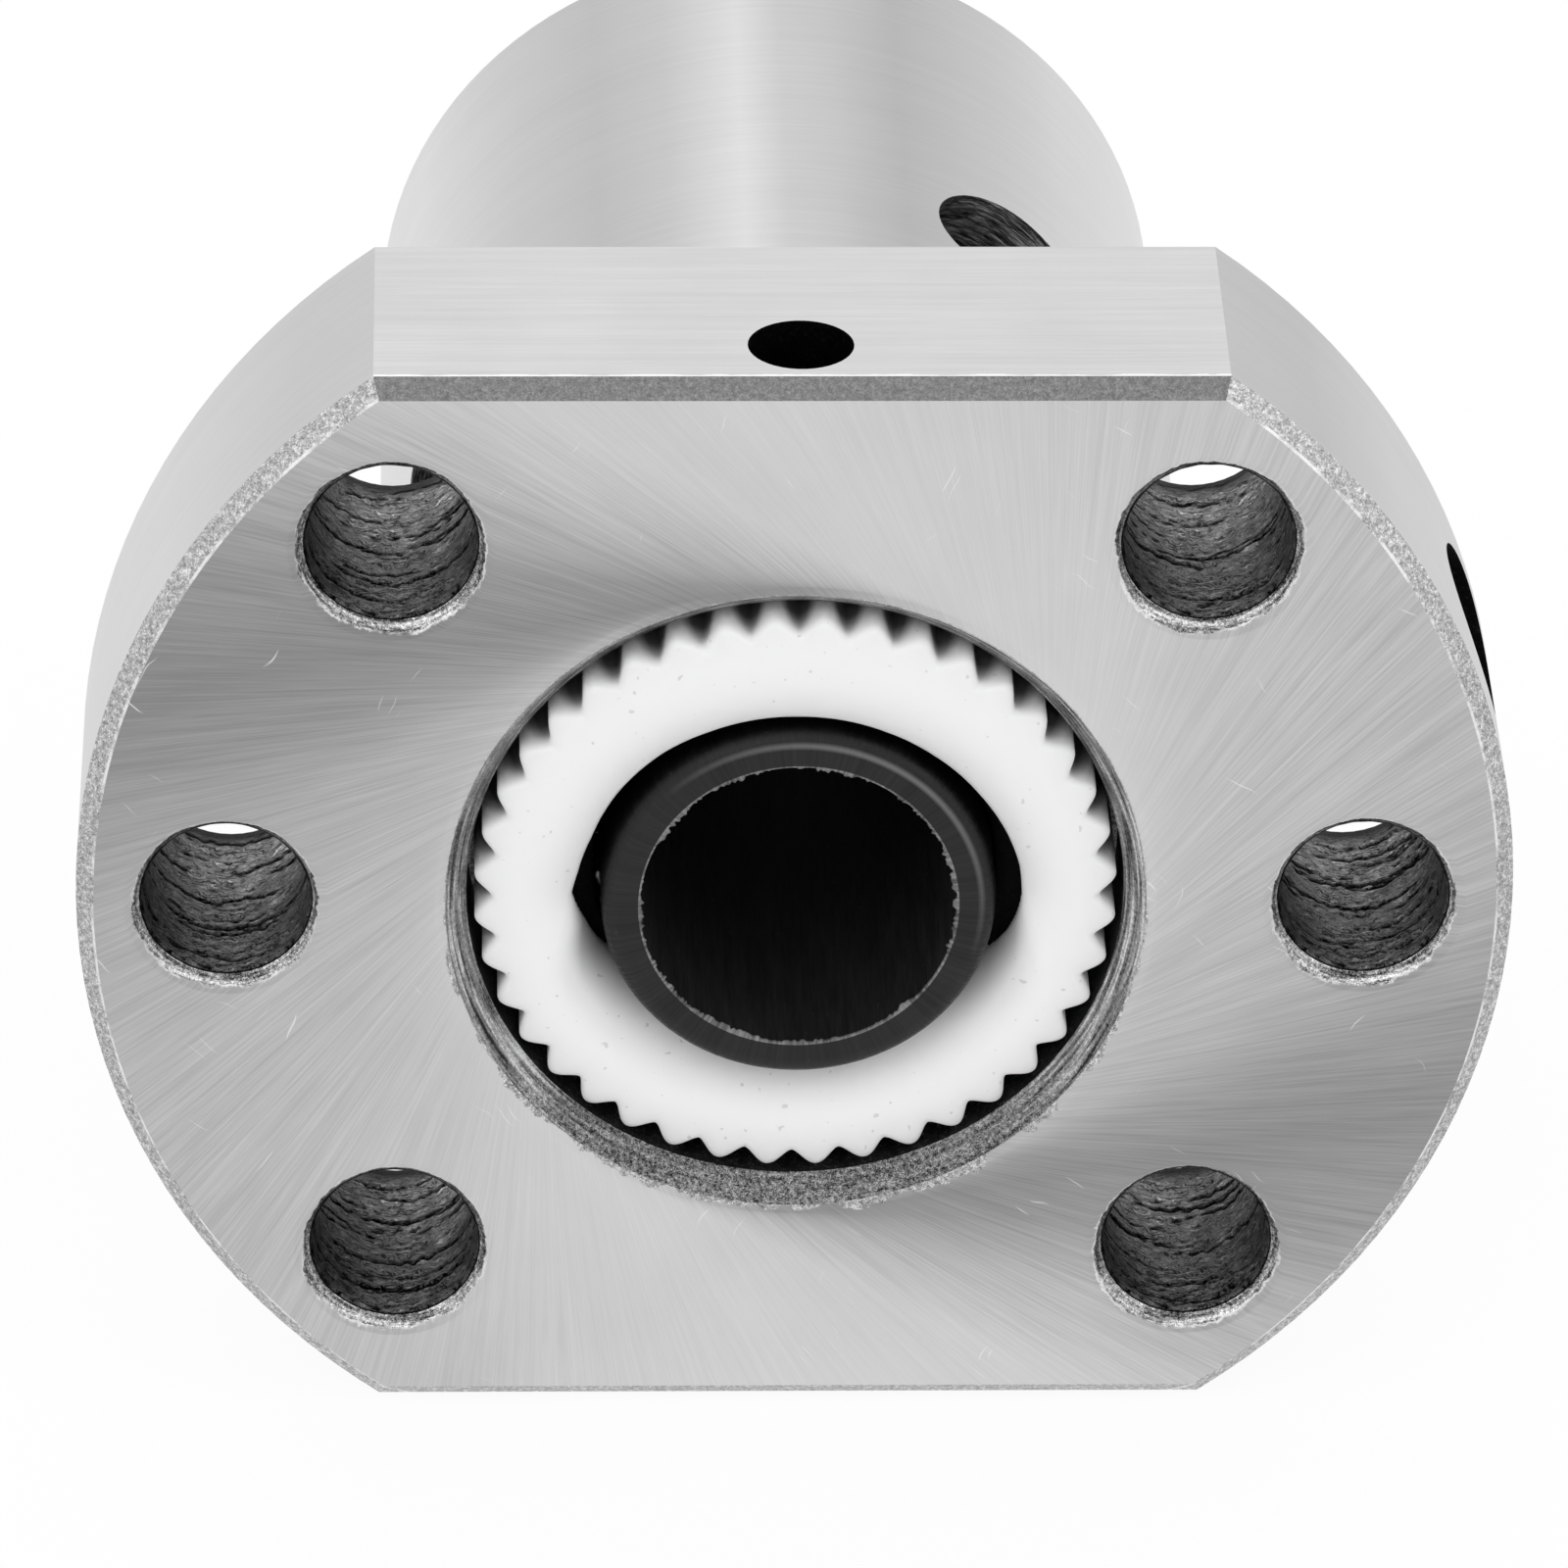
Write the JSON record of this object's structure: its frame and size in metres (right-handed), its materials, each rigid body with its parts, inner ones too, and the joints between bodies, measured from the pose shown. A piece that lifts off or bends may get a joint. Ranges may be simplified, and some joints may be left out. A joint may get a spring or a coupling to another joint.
{
  "type": "flanged ball nut",
  "caption": "Flanged steel ball nut with a two-flat flange, plain barrel, toothed white wipers and recirculating balls, on the black sleeve that holds them in.",
  "frame": {"origin": "on the nut's axis, at the centre of the flange's rear mounting face", "axes": "+Y along the nut's axis from the flange towards the end of the barrel, +Z out through the flat that holds the front wiper's grub screw, +X to the right as the flange's front face is seen"},
  "size_m": [0.048, 0.045, 0.039],
  "materials": {
    "nut": "turned and ground",
    "wiper": "moulded",
    "grub_screw": "black oxide",
    "sleeve": "extruded",
    "return_insert": "sintered",
    "ball": "polished"
  },
  "bodies": {
    "nut": {"flange": "nut", "barrel": "nut", "front_wiper": "wiper", "rear_wiper": "wiper", "front_grub_screw": "grub_screw", "rear_grub_screw": "grub_screw", "return_insert_1": "return_insert", "ball_circuit_1": "ball", "return_insert_2": "return_insert", "ball_circuit_2": "ball", "return_insert_3": "return_insert", "ball_circuit_3": "ball", "return_insert_4": "return_insert", "ball_circuit_4": "ball"},
    "sleeve": {"shipping_sleeve": "sleeve"}
  },
  "joints": [
    {"name": "sleeve_slide", "type": "slide", "parent": "nut", "child": "sleeve", "axis": [0, 1, 0], "range_m": [-0.046, 0.046]}
  ]
}
